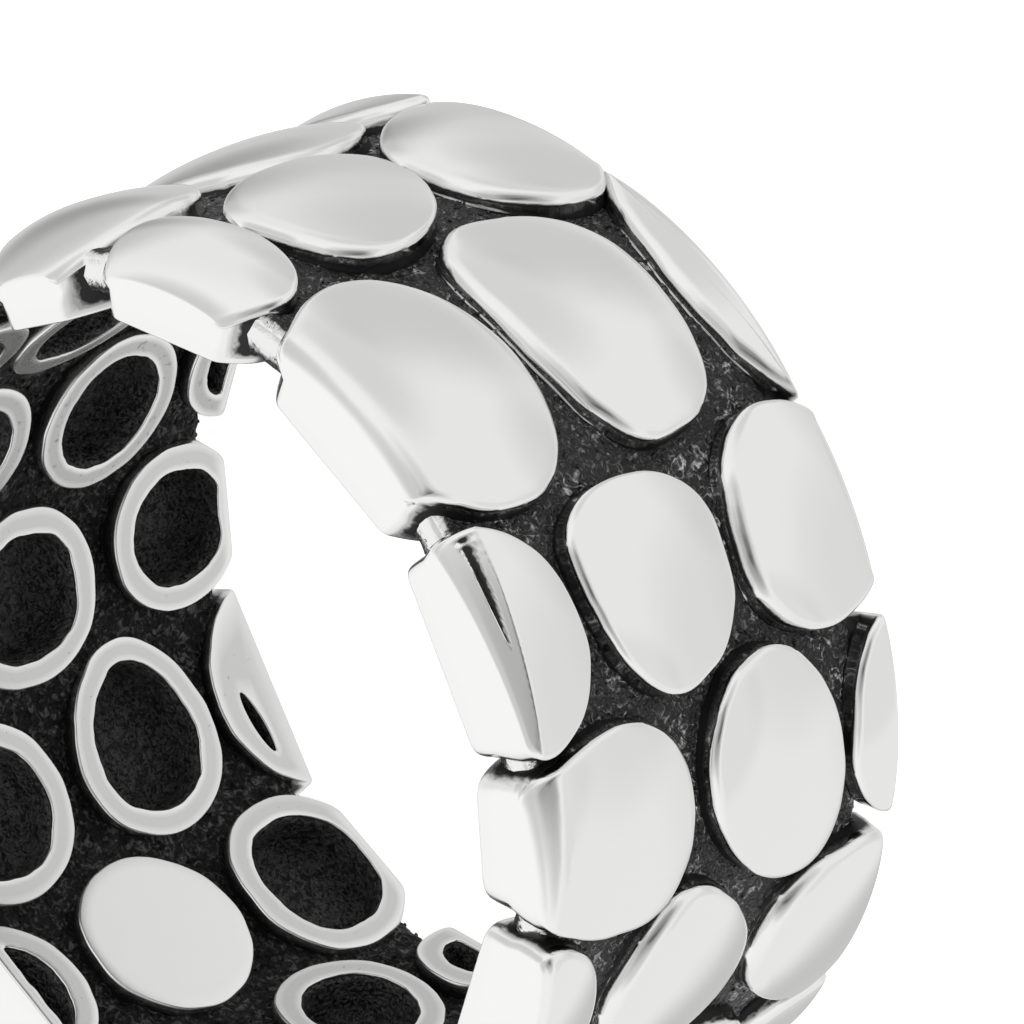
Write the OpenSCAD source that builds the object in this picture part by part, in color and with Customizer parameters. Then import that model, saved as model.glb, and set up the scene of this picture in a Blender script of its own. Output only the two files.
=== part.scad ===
// Wide band ring cast in one piece: raised pebbles in staggered columns, joined by a thinner web,
// each pebble hollow behind with a flat rim that touches the finger.
// The ring lies on its side: the finger hole runs along Z and the band stands on z = 0.
// Angles run round the band from the front (-Y), anticlockwise seen from above.

/* [Ring] */
// Inside diameter, across the flat rims that touch the finger
inside_d = 17.9; // [16:0.1:22]
// Width of the band, along the finger
band_w = 10.2; // [9:0.1:12]
// Thickness from the flat rims inside to the tops of the pebbles
wall = 2.1; // [1.9:0.05:2.5]

/* [Web] */
// Depth of the dark ground below the tops of the pebbles
ground_outside = 0.7; // [0.6:0.05:0.8]
// Depth of the dark ground behind the flat rims inside
ground_inside = 0.4; // [0.3:0.05:0.45]
// Distance of the web's two edges from the end planes of the band
web_set_back = 0.4; // [0.2:0.05:0.6]
// Chamfer along the web's edges
web_chamfer = 0.15; // [0.05:0.05:0.25]

/* [Cups] */
// Width of the flat rim round each hollow
cup_rim = 0.56; // [0.45:0.02:0.65]
// Depth of each hollow
cup_depth = 1.15; // [0.8:0.05:1.3]
// Wall left between a hollow and the end plane that cuts its pebble
cup_end_wall = 0.3; // [0.25:0.05:0.45]

/* [Bevels] */
// Length of the slope where a pebble falls towards an end plane
bevel_length = 1.5; // [1:0.1:1.8]

/* [Hidden] */

$fn = 96;
outline_points = 20;
inner_r = inside_d / 2;
outer_r = inner_r + wall;
web_inner_r = inner_r + ground_inside;
web_outer_r = outer_r - ground_outside;
// The pebble's narrow inner part and wide outer part meet inside the web
step_r = (web_inner_r + web_outer_r) / 2;
// Lengths in the tables are for a band of this width, and follow band_w
drawn_w = 10.2;
stretch = band_w / drawn_w;
// Cutting blocks reach this far past what they cut
past = 3;

// The pebbles, one row each, column by column round the band.
// Columns: angle and height of the centre, half width in degrees round the band, half height,
// tilt in degrees, squareness (2 is an ellipse), lean (taller towards larger angles), taper (wider
// towards the top), shear (higher towards larger angles), drop of the top at the end plane that cuts
// it, and 1 where the pebble is hollow behind.
angle = 0;
height = 1;
half_width = 2;
half_height = 3;
tilt = 4;
squareness = 5;
lean = 6;
taper = 7;
shear = 8;
drop = 9;
hollow = 10;
pebbles = [
    [-79.0, -0.60, 13.0, 1.90,   0, 2.10,  0.00,  0.00,  0.00, 0.2, 0],
    [-79.5,  3.60, 12.8, 1.95,  -4, 2.10,  0.00,  0.00,  0.00, 0.0, 1],
    [-79.0,  8.10, 12.4, 2.05,   3, 2.20,  0.00,  0.00,  0.00, 0.4, 1],

    [-55.7,  1.45, 11.7, 1.72,  -7, 2.40,  0.05, -0.22,  0.00, 0.1, 1],
    [-51.4,  5.67, 11.5, 1.99,   1, 1.90, -0.24,  0.10,  0.00, 0.0, 1],
    [-52.3, 10.20, 12.7, 1.97,   0, 2.30,  0.00,  0.00,  0.00, 0.1, 1],

    [-29.8, -1.10, 12.6, 2.15,   0, 2.40, -0.10,  0.10,  0.00, 0.1, 0],
    [-30.2,  3.40, 14.1, 1.90,  14, 2.00,  0.00, -0.10,  0.00, 0.0, 1],
    [-28.7,  8.55, 11.4, 2.92,  -9, 2.10, -0.15, -0.25,  0.00, 0.2, 1],

    [ -4.4,  1.27, 12.7, 1.98,  -2, 2.20, -0.08,  0.07,  0.00, 0.1, 1],
    [ -4.8,  5.54, 11.9, 1.93,   5, 2.40,  0.12,  0.13,  0.00, 0.0, 1],
    [ -4.3,  9.62, 12.8, 1.68,   9, 2.20,  0.00,  0.17,  0.00, 0.4, 1],

    [ 24.8, -1.20, 20.5, 2.23,   3, 2.00, -0.10,  0.10,  0.00, 0.1, 0],
    [ 25.0,  3.47, 16.0, 2.03,  -9, 2.80,  0.15,  0.14,  0.17, 0.0, 1],
    [ 24.1,  8.35, 16.7, 2.67,  13, 2.00,  0.07, -0.05,  0.00, 0.7, 1],

    [ 54.7,  1.45, 14.9, 1.75,  -9, 2.30,  0.04, -0.20,  0.00, 0.1, 1],
    [ 54.0,  5.52, 11.8, 2.12,   5, 2.50,  0.20,  0.10, -0.11, 0.0, 1],
    [ 54.9,  9.45, 12.9, 1.40,   6, 2.20,  0.10,  0.00,  0.00, 1.1, 1],

    [ 82.5, -0.80, 14.0, 2.00,   0, 2.10,  0.00,  0.00,  0.00, 0.1, 0],
    [ 80.5,  3.40, 14.2, 2.35,  11, 2.50,  0.15,  0.15,  0.00, 0.0, 1],
    [ 80.0,  8.20, 13.3, 2.20,   4, 2.10,  0.10, -0.10,  0.00, 0.9, 1],

    [105.0,  1.50, 12.2, 1.95,   0, 2.20,  0.00,  0.00,  0.00, 0.2, 1],
    [104.0,  6.10, 11.3, 1.90,   0, 2.10,  0.00,  0.00,  0.00, 0.0, 1],
    [103.0, 10.20, 12.0, 1.90,   0, 2.10,  0.00,  0.00,  0.00, 0.4, 1],

    [127.5, -0.20, 10.8, 1.68,   0, 2.10,  0.00,  0.00,  0.00, 0.2, 1],
    [128.5,  3.83, 12.9, 1.93,   0, 2.00,  0.00,  0.00,  0.00, 0.0, 1],
    [127.2,  8.25, 12.4, 2.00,   0, 2.10,  0.00,  0.00,  0.00, 0.4, 1],

    [152.0,  1.52, 12.0, 1.90,   0, 2.10,  0.00,  0.00,  0.00, 0.1, 1],
    [153.3,  6.05, 12.9, 2.00,   5, 2.15,  0.05,  0.00,  0.00, 0.0, 1],
    [153.0, 10.40, 12.2, 1.90,   0, 2.10,  0.00,  0.00,  0.00, 0.3, 1],

    [178.6, -1.10, 16.6, 2.75,   0, 2.00,  0.00,  0.00,  0.00, 0.2, 0],
    [178.0,  3.85, 14.4, 1.93,   7, 2.00,  0.14,  0.00,  0.00, 0.0, 1],
    [179.6,  8.42, 13.1, 2.03,   5, 2.10,  0.00,  0.00,  0.00, 0.4, 1],

    [205.9,  1.67, 13.6, 1.96,  -2, 2.15,  0.00,  0.00,  0.00, 0.2, 1],
    [204.9,  6.08, 13.1, 2.00,   0, 2.00,  0.00,  0.00,  0.00, 0.0, 0],
    [204.6, 10.50, 12.3, 1.87,   0, 2.10,  0.00,  0.00,  0.00, 0.3, 1],

    [230.8,  0.40,  8.2, 1.30,   0, 2.20,  0.00,  0.00,  0.00, 0.1, 1],
    [230.0,  3.88, 11.8, 1.80,   0, 2.10,  0.00,  0.00,  0.00, 0.0, 1],
    [230.5,  8.20, 12.4, 2.05,   0, 2.10,  0.00,  0.00,  0.00, 0.4, 1],

    [256.0,  1.60, 12.4, 1.90,   0, 2.10,  0.00,  0.00,  0.00, 0.2, 1],
    [255.5,  5.95, 12.8, 1.98,   0, 2.10,  0.00,  0.00,  0.00, 0.0, 1],
    [256.5, 10.30, 12.4, 1.90,   0, 2.10,  0.00,  0.00,  0.00, 0.3, 1]
];

// One nearly filled pebble has only a slot behind: angle, height, half width, half height, tilt
slot_row = [182.5, 0.82, 4.9, 0.15, -11, 1.8, 0, 0, 0];
slot_depth = 0.6;

// Superellipse coordinate: the sign of v with its size raised to a power
function bent(v, power) = sign(v) * pow(abs(v), power);

// Outline of a pebble at a given radius, in mm, drawn in by inset
function outline(row, radius, inset) =
    let (
        across = row[half_width] * PI / 180 * radius - inset,
        up = row[half_height] * stretch - inset,
        power = 2 / row[squareness]
    )
    [for (i = [0 : outline_points - 1])
        let (
            turn = 360 * i / outline_points,
            u = bent(cos(turn), power),
            v = bent(sin(turn), power),
            x = across * u * (1 + row[taper] * v),
            y = up * v * (1 + row[lean] * u) + row[shear] * across * u
        )
        [x * cos(row[tilt]) - y * sin(row[tilt]), x * sin(row[tilt]) + y * cos(row[tilt])]
    ];

// Puts a shape drawn with X round the band, Y up and Z outwards at a pebble's place
module at_pebble(row, radius = 0)
    rotate([0, 0, row[angle] - 90])
        translate([radius, 0, row[height] * stretch])
            rotate([90, 0, 90])
                children();

// Radial prism with a pebble's outline, from one radius to another
module prism(row, from_r, to_r, outline_r, inset = 0)
    at_pebble(row, from_r)
        linear_extrude(to_r - from_r)
            polygon(outline(row, outline_r, inset));

function cut_below(row) = row[height] - row[half_height] < 0;
function cut_above(row) = row[height] + row[half_height] > drawn_w;

// The slab between two heights, wider than the ring
module slab(from_z, to_z)
    translate([0, 0, (from_z + to_z) / 2])
        cube([2 * (outer_r + past), 2 * (outer_r + past), to_z - from_z], center = true);

// Half space above the slope at one end plane: near_rim is 1 at the upper plane, -1 at the lower
module bevel(row, near_rim)
    rotate([0, 0, row[angle] - 90])
        translate([outer_r - row[drop], 0, near_rim > 0 ? band_w : 0])
            rotate([0, -near_rim * atan(row[drop] / bevel_length), 0])
                translate([past / 2, 0, 0])
                    cube([past, 4 * past, 4 * past], center = true);

// A pebble without its hollow: a domed block standing out on both sides of the web
module pebble(row) {
    rim = cut_below(row) || cut_above(row);
    difference() {
        intersection() {
            union() {
                prism(row, inner_r, step_r, inner_r);
                prism(row, step_r, outer_r + past, outer_r);
            }
            translate([0, 0, row[height] * stretch])
                sphere(outer_r);
            if (rim)
                slab(0, band_w);
        }
        if (rim && row[drop] > 0)
            bevel(row, cut_above(row) ? 1 : -1);
    }
}

// The hollow behind a pebble
module cup(row)
    intersection() {
        prism(row, inner_r - past, inner_r + cup_depth, inner_r, cup_rim);
        slab(cup_end_wall, band_w - cup_end_wall);
    }

// The web that joins the pebbles: a plain ring with chamfered edges
module web()
    rotate_extrude()
        polygon([
            [web_inner_r, web_set_back + web_chamfer],
            [web_inner_r + web_chamfer, web_set_back],
            [web_outer_r - web_chamfer, web_set_back],
            [web_outer_r, web_set_back + web_chamfer],
            [web_outer_r, band_w - web_set_back - web_chamfer],
            [web_outer_r - web_chamfer, band_w - web_set_back],
            [web_inner_r + web_chamfer, band_w - web_set_back],
            [web_inner_r, band_w - web_set_back - web_chamfer]
        ]);

// The whole casting: one solid of silver
module cast_band()
    color("silver")
        difference() {
            union() {
                web();
                for (row = pebbles)
                    pebble(row);
            }
            for (row = pebbles)
                if (row[hollow] == 1)
                    cup(row);
            prism(slot_row, inner_r - past, inner_r + slot_depth, inner_r);
        }

cast_band();
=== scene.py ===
# Wide cast silver band ring with raised polished pebbles, lying on its side on a pale table.
import math
from collections import namedtuple

import bpy
import numpy as np
from mathutils import Matrix, Vector, noise


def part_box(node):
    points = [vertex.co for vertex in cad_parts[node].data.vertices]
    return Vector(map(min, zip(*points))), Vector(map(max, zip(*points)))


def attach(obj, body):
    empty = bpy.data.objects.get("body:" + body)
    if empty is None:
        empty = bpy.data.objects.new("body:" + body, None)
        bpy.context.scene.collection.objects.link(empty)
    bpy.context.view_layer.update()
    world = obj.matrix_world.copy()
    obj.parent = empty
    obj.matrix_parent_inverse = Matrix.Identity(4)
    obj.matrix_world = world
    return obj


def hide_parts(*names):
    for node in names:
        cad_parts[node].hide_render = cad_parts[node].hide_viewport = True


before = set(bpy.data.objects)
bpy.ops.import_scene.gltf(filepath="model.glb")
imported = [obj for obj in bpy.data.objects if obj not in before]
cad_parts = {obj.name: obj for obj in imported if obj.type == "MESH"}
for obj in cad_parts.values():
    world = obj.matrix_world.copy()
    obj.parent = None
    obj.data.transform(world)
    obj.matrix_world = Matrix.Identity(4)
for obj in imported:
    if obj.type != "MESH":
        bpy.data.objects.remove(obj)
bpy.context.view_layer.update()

# The ground of the band
# The ring is one casting of sterling silver: raised pebbles joined by a thinner web, whose surface is the
# dark ground that shows between them. It was cast rough and blackened with liver of sulphur, and only its
# two edges, between the pebbles at the rims, were polished bright again.
MM = 0.001
low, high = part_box("cast_band")
BAND_WIDTH = (high[2] - low[2]) / MM
OUTER_RADIUS = (high[0] - low[0]) / 2 / MM
INNER_RADIUS = OUTER_RADIUS - 2.1
GROUND_OUTSIDE = OUTER_RADIUS - 0.7
GROUND_INSIDE = INNER_RADIUS + 0.4
GROUND_STEP = 0.08
WEB_MIDDLE = (GROUND_OUTSIDE + GROUND_INSIDE) / 2
WEB_SET_BACK = 0.35
WEB_ROUNDING = 0.42
WEB_SQUARENESS = 2.4
HOLE_INSET = 0.26
WIDEST_HALF_PEBBLE = 40
COARSE_GRAIN = 0.55
COARSE_HEIGHT = 0.05
FINE_GRAIN = 0.2
FINE_HEIGHT = 0.035
THICKER_INSIDE = 1.3
OUTSIDE_FADE = 0.22
OUTSIDE_FADE_START = -0.15
INSIDE_FADE = 0.15
INSIDE_FADE_START = 0.3
OUTLINE_STEPS = 721

# How a pebble's top falls towards the end plane that cuts it: distances from that plane in millimetres and
# the slope there. The slope runs evenly from each to the next.
Fall = namedtuple("Fall", "distance slope")
NO_FALL = Fall((1.0, 0.0), (0.0, 0.0))
END_ROUND = Fall((0.35, 0.1, 0.0), (0.0, 0.2, 0.5))
END_FILLET = Fall((0.42, 0.41, 0.25, 0.1, 0.0), (0.0, 0.4, 0.8, 1.3, 2.4))
END_CREASE = Fall((0.4, 0.395, 0.36, 0.1, 0.0), (0.0, 0.95, 1.2, 1.3, 1.8))
END_BEVEL = Fall((1.3, 0.7, 0.18, 0.0), (0.0, 0.08, 0.4, 0.85))
END_DOME = Fall((2.2, 1.1, 0.5, 0.2, 0.0), (0.0, 0.34, 0.62, 0.9, 1.3))
END_SLOPE = Fall((2.4, 1.4, 0.4, 0.0), (0.0, 0.3, 0.5, 0.7))

# Each pebble's angle round the band from the front, anticlockwise from above, the height of its centre,
# half width in degrees, half height, tilt in degrees, squareness (2 is an ellipse), lean (taller towards
# larger angles), taper (wider towards the top) and shear (higher towards larger angles). Then the radius
# of its polished top edge, how much broader that edge is on the side towards the upper rim, the depth to
# which its sides are polished, how much deeper that goes on the same side, and how far its crown falls
# towards its edge. A pebble that an end plane cuts also has its fall, how much that grows towards larger
# angles, the depth of the split in it, and the radius of the edge along the plane and of the corners at
# its two ends. The last word says whether there is a cup, a slot or flat metal behind. Lengths are in
# millimetres.
Pebble = namedtuple(
    "Pebble",
    "angle height half_width half_height tilt squareness lean taper shear edge bevel clean side crown"
    " fall slant split soft corner behind",
    defaults=(0, 0, 0, 0.16, 0, 0.36, 0, 0.12, NO_FALL, 0, 0, 0.12, 0.17, "cup"),
)
upper_row = [
    Pebble(-79.0, 8.10, 12.4, 2.05, 3, 2.20),
    Pebble(-52.3, 10.20, 12.7, 1.97, 0, 2.30, edge=0.2, soft=0.3, corner=0.45, fall=END_ROUND),
    Pebble(-28.7, 8.55, 11.4, 2.92, -9, 2.10, -0.15, -0.25, edge=0.14, crown=0.05, fall=END_FILLET,
           slant=0.6, soft=0.1, corner=0.42),
    Pebble(-4.3, 9.62, 12.8, 1.68, 9, 2.20, 0, 0.17, edge=0.12, crown=0.03, fall=END_CREASE, slant=0.6,
           split=0.15, soft=0.05, corner=0.3),
    Pebble(24.1, 8.35, 16.7, 2.67, 13, 2.00, 0.07, -0.05, edge=0.2, crown=0.14, soft=0.35, fall=END_BEVEL,
           slant=0.3),
    Pebble(54.9, 9.35, 12.9, 1.30, 6, 2.00, 0.10, 0, edge=0.16, clean=0.5, soft=0.05, fall=END_DOME),
    Pebble(80.0, 8.20, 13.3, 2.20, 4, 2.10, 0.10, -0.10, edge=0.2, clean=0.7, soft=0.06, fall=END_SLOPE),
    Pebble(103.0, 10.2, 12.0, 1.90, 0, 2.10, fall=END_BEVEL),
    Pebble(127.2, 8.25, 12.4, 2.00, 0, 2.10, fall=END_BEVEL),
    Pebble(153.0, 10.4, 12.2, 1.90, 0, 2.10),
    Pebble(179.6, 8.42, 13.1, 2.03, 5, 2.10, fall=END_BEVEL),
    Pebble(204.6, 10.5, 12.3, 1.87, 0, 2.10),
    Pebble(230.5, 8.20, 12.4, 2.05, 0, 2.10, fall=END_BEVEL),
    Pebble(256.5, 10.3, 12.4, 1.90, 0, 2.10),
]
middle_row = [
    Pebble(-79.5, 3.60, 12.8, 1.95, -4, 2.10),
    Pebble(-51.4, 5.67, 11.5, 1.99, 1, 1.90, -0.24, 0.10, edge=0.2, bevel=0.15),
    Pebble(-30.2, 3.40, 14.1, 1.90, 14, 2.00, 0, -0.10, edge=0.14, crown=0.05, bevel=0.06),
    Pebble(-4.8, 5.54, 11.9, 1.93, 5, 2.40, 0.12, 0.13, edge=0.12, crown=0.05, bevel=0.06, side=0.2),
    Pebble(25.0, 3.47, 16.0, 2.03, -9, 2.80, 0.15, 0.14, 0.17, edge=0.16, crown=0.17, bevel=0.12, side=0.3),
    Pebble(54.0, 5.52, 11.8, 2.12, 5, 2.50, 0.20, 0.10, -0.11, edge=0.16, crown=0.05, bevel=0.12),
    Pebble(80.5, 3.40, 14.2, 2.35, 11, 2.50, 0.15, 0.15, edge=0.16, bevel=0.08),
    Pebble(104.0, 6.10, 11.3, 1.90, 0, 2.10),
    Pebble(128.5, 3.83, 12.9, 1.93, 0, 2.00),
    Pebble(153.3, 6.05, 12.9, 2.00, 5, 2.15, 0.05),
    Pebble(178.0, 3.85, 14.4, 1.93, 7, 2.00, 0.14),
    Pebble(204.9, 6.08, 13.1, 2.00, 0, 2.00, behind="flat"),
    Pebble(230.0, 3.88, 11.8, 1.80, 0, 2.10),
    Pebble(255.5, 5.95, 12.8, 1.98, 0, 2.10),
]
lower_row = [
    Pebble(-79.0, -0.60, 13.0, 1.90, 0, 2.10, behind="flat"),
    Pebble(-55.7, 1.30, 11.7, 1.87, -7, 2.40, 0.05, -0.22, edge=0.2, bevel=0.15, crown=0.14, soft=0.1),
    Pebble(-29.8, -1.10, 12.6, 2.15, 0, 2.40, -0.10, 0.10, edge=0.16, crown=0.08, side=0.3,
           soft=0.08, behind="flat"),
    Pebble(-4.4, 1.27, 12.7, 1.98, -2, 2.20, -0.08, 0.07, edge=0.16, crown=0.05, bevel=0.2, side=0.3,
           soft=0.25),
    Pebble(24.8, -1.20, 20.5, 2.23, 3, 2.00, -0.10, 0.10, edge=0.16, crown=0.16, bevel=0.1, side=0.3,
           soft=0.25, behind="flat"),
    Pebble(54.7, 1.25, 14.9, 1.95, -9, 2.30, 0.04, -0.20, edge=0.16, crown=0.16, bevel=0.12, side=0.3,
           soft=0.25),
    Pebble(82.5, -0.80, 14.0, 2.00, 0, 2.10, edge=0.14, bevel=0.1, crown=0.05, soft=0.06, behind="flat"),
    Pebble(105.0, 1.50, 12.2, 1.95, 0, 2.20),
    Pebble(127.5, -0.20, 10.8, 1.68, 0, 2.10),
    Pebble(152.0, 1.52, 12.0, 1.90, 0, 2.10),
    Pebble(178.6, -1.10, 16.6, 2.75, 0, 2.00, behind="slot"),
    Pebble(205.9, 1.67, 13.6, 1.96, -2, 2.15),
    Pebble(230.8, 0.40, 8.2, 1.30, 0, 2.20),
    Pebble(256.0, 1.60, 12.4, 1.90, 0, 2.10),
]


def bent(values, power):
    """Keeps the sign of each value and raises its size to a power, as in a superellipse."""
    return np.sign(values) * np.abs(values) ** power


def turned(points, degrees):
    """Points in the plane, turned anticlockwise."""
    c, s = math.cos(math.radians(degrees)), math.sin(math.radians(degrees))
    return np.stack([points[:, 0] * c - points[:, 1] * s, points[:, 0] * s + points[:, 1] * c], 1)


def superellipse(pebble, radius, inset, turns):
    """A pebble's outline at that radius, drawn in by inset, at given turns, measured from its centre."""
    across = math.radians(pebble.half_width) * radius - inset
    up = pebble.half_height - inset
    u = bent(np.cos(turns), 2 / pebble.squareness)
    v = bent(np.sin(turns), 2 / pebble.squareness)
    x = across * u * (1 + pebble.taper * v)
    y = up * v * (1 + pebble.lean * u) + pebble.shear * across * u
    return turned(np.stack([x, y], 1), pebble.tilt)


def fullness(pebble, radius, points, inset=0.0):
    """0 at a pebble's centre, 1 on its outline at that radius, for points measured from its centre."""
    outline = superellipse(pebble, radius, inset, np.linspace(-math.pi, math.pi, OUTLINE_STEPS))
    turns = np.unwrap(np.arctan2(outline[:, 1], outline[:, 0]))
    reach = np.linalg.norm(outline, axis=1)
    turn = np.arctan2(points[:, 1], points[:, 0])
    turn = turns[0] + (turn - turns[0]) % (2 * math.pi)
    return np.linalg.norm(points, axis=1) / np.interp(turn, turns, reach)


def smooth(values):
    """Runs from 0 to 1 with level ends."""
    t = np.clip(values, 0, 1)
    return t * t * (3 - 2 * t)


def rough(points, grain, salt, octaves=3):
    """Cast roughness from -1 to 1 at each point, with grains of that size in millimetres."""
    shift = Vector((salt * 7.3, salt * 3.1, salt * 5.7))
    return np.array([noise.fractal(Vector(p) / grain + shift, 0.9, 2.1, octaves) for p in points.tolist()])


def add_mesh(name, points, faces, oxide, material):
    """A piece from points in millimetres, its faces and how black each point is."""
    mesh = bpy.data.meshes.new(name)
    mesh.from_pydata((points * MM).tolist(), [], faces)
    mesh.attributes.new("oxide", "FLOAT", "POINT").data.foreach_set("value", oxide.astype(np.float32))
    mesh.materials.append(material)
    mesh.shade_smooth()
    mesh.update()
    piece = bpy.data.objects.new(name, mesh)
    bpy.context.scene.collection.objects.link(piece)
    return piece


def linear(hex_colour):
    """An sRGB hex colour as linear RGBA."""
    parts = [int(hex_colour[i:i + 2], 16) / 255 for i in (1, 3, 5)]
    return [c / 12.92 if c <= 0.04045 else ((c + 0.055) / 1.055) ** 2.4 for c in parts] + [1]


def add_node(tree, kind, values=None, links=None, **settings):
    """Adds a node with its settings, the values of its sockets and the outputs linked to them."""
    node = tree.nodes.new(kind)
    for name, value in settings.items():
        setattr(node, name, value)
    for name, value in (values or {}).items():
        node.inputs[name].default_value = value
    for name, output in (links or {}).items():
        tree.links.new(output, node.inputs[name])
    return node


def set_ramp(ramp, stops):
    """Fills a colour ramp with positions and hex colours."""
    elements = ramp.color_ramp.elements
    while len(elements) < len(stops):
        elements.new(0.5)
    for element, (position, colour) in zip(elements, stops):
        element.position = position
        element.color = linear(colour)


# Blackened cast silver: the sulphide is a thin, nearly black coat on a rough casting. It swallows most of
# the light, and its high grains, rubbed in polishing, glint grey. The grain is about a tenth of a
# millimetre, with finer pits in it.
def blackened_silver():
    material = bpy.data.materials.new("blackened_cast_silver")
    material.use_nodes = True
    tree = material.node_tree
    shader = tree.nodes["Principled BSDF"]
    shader.inputs["Metallic"].default_value = 1.0
    place = add_node(tree, "ShaderNodeTexCoord").outputs["Object"]
    oxide = add_node(tree, "ShaderNodeAttribute", attribute_name="oxide").outputs["Fac"]
    grain = add_node(tree, "ShaderNodeTexNoise",
                     {"Scale": 1 / (0.2 * MM), "Detail": 4.0, "Roughness": 0.62, "Distortion": 1.2},
                     {"Vector": place})
    pits = add_node(tree, "ShaderNodeTexVoronoi", {"Scale": 1 / (0.11 * MM)}, {"Vector": place})
    veins = add_node(tree, "ShaderNodeTexNoise",
                     {"Scale": 1 / (0.42 * MM), "Detail": 1.5, "Distortion": 0.9}, {"Vector": place})
    ridge = add_node(tree, "ShaderNodeMath", {1: 0.5}, {0: veins.outputs["Fac"]}, operation="SUBTRACT")
    ridge = add_node(tree, "ShaderNodeMath", {}, {0: ridge.outputs[0]}, operation="ABSOLUTE")
    ridge = add_node(tree, "ShaderNodeMapRange", {"From Min": 0.06, "From Max": 0.0},
                     {"Value": ridge.outputs[0]})
    patchy = add_node(tree, "ShaderNodeTexNoise", {"Scale": 1 / (0.9 * MM), "Detail": 1.0},
                      {"Vector": place})
    patchy = add_node(tree, "ShaderNodeMapRange", {"From Min": 0.42, "From Max": 0.62, "To Max": 0.22},
                      {"Value": patchy.outputs["Fac"]})
    rubbed = add_node(tree, "ShaderNodeMath", {}, {0: ridge.outputs[0], 1: patchy.outputs[0]},
                      operation="MULTIPLY")
    thin = add_node(tree, "ShaderNodeMapRange", {"From Min": 1.1, "From Max": 1.0}, {"Value": oxide})
    rubbed = add_node(tree, "ShaderNodeMath", {}, {0: rubbed.outputs[0], 1: thin.outputs[0]},
                      operation="MULTIPLY")
    worn = add_node(tree, "ShaderNodeMath", {}, {0: grain.outputs["Fac"], 1: oxide}, operation="SUBTRACT")
    worn = add_node(tree, "ShaderNodeMath", {}, {0: worn.outputs[0], 1: rubbed.outputs[0]}, operation="ADD")
    tone = add_node(tree, "ShaderNodeMapRange", {"From Min": -0.9, "From Max": 0.5},
                    {"Value": worn.outputs[0]})
    colour = add_node(tree, "ShaderNodeValToRGB", {}, {"Fac": tone.outputs[0]})
    set_ramp(colour, [(0.0, "#1a1a1a"), (0.1, "#262626"), (0.18, "#606060"), (0.23, "#1c1c1d"),
                      (0.3, "#303031"), (0.35, "#525253"), (0.4, "#868686"), (0.46, "#bababa"),
                      (0.6, "#e8e8e7")])
    dull = add_node(tree, "ShaderNodeMapRange",
                    {"From Min": 0.36, "From Max": 0.64, "To Min": 0.46, "To Max": 0.12},
                    {"Value": tone.outputs[0]})
    metal = add_node(tree, "ShaderNodeMapRange", {"From Min": 0.2, "From Max": 0.4},
                     {"Value": tone.outputs[0]})
    sheen = add_node(tree, "ShaderNodeMapRange",
                     {"From Min": 0.05, "From Max": 0.28, "To Min": 0.1, "To Max": 0.5},
                     {"Value": tone.outputs[0]})
    tree.links.new(sheen.outputs[0], shader.inputs["Specular IOR Level"])
    tree.links.new(metal.outputs[0], shader.inputs["Metallic"])
    coarse = add_node(tree, "ShaderNodeMath", {1: 0.6}, {0: pits.outputs["Distance"]}, operation="MULTIPLY")
    height = add_node(tree, "ShaderNodeMath", {}, {0: grain.outputs["Fac"], 1: coarse.outputs[0]},
                      operation="ADD")
    height = add_node(tree, "ShaderNodeMath", {}, {0: height.outputs[0], 1: rubbed.outputs[0]},
                      operation="ADD")
    relief = add_node(tree, "ShaderNodeMath", {}, {0: height.outputs[0], 1: oxide}, operation="MULTIPLY")
    bump = add_node(tree, "ShaderNodeBump", {"Strength": 1.0, "Distance": 0.09 * MM},
                    {"Height": relief.outputs[0]})
    tree.links.new(colour.outputs["Color"], shader.inputs["Base Color"])
    tree.links.new(dull.outputs[0], shader.inputs["Roughness"])
    tree.links.new(bump.outputs["Normal"], shader.inputs["Normal"])
    return material


blackened = blackened_silver()

# The web is drawn on a grid of angles and heights, outside and inside at once. Cells that a pebble
# covers are left out, and the rim of each hole is closed by a wall that lies inside the pebble's own metal.
angle_steps = round(2 * math.pi * GROUND_OUTSIDE / GROUND_STEP)
height_steps = round((BAND_WIDTH - 2 * WEB_SET_BACK) / GROUND_STEP)
web_angles = np.arange(angle_steps) * 2 * math.pi / angle_steps
web_heights = np.linspace(WEB_SET_BACK, BAND_WIDTH - WEB_SET_BACK, height_steps + 1)
from_end = np.minimum(web_heights - WEB_SET_BACK, BAND_WIDTH - WEB_SET_BACK - web_heights)
rounded = np.clip(1 - from_end / WEB_ROUNDING, 0, 1)
half_web = (GROUND_OUTSIDE - GROUND_INSIDE) / 2 * (1 - rounded ** WEB_SQUARENESS) ** (1 / WEB_SQUARENESS)

middle_angles = np.degrees(web_angles + math.pi / angle_steps)
middle_heights = (web_heights[:-1] + web_heights[1:]) / 2
grid_angles, grid_heights = np.meshgrid(middle_angles, middle_heights, indexing="ij")
open_cells = np.ones(grid_angles.shape, bool)
for pebble in upper_row + middle_row + lower_row:
    across = (grid_angles - pebble.angle + 180) % 360 - 180
    near = np.stack([np.radians(across).ravel() * WEB_MIDDLE, grid_heights.ravel() - pebble.height], 1)
    covered = fullness(pebble, WEB_MIDDLE, near, HOLE_INSET) < 1
    covered &= np.abs(across.ravel()) < WIDEST_HALF_PEBBLE
    open_cells &= ~covered.reshape(open_cells.shape)

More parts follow.
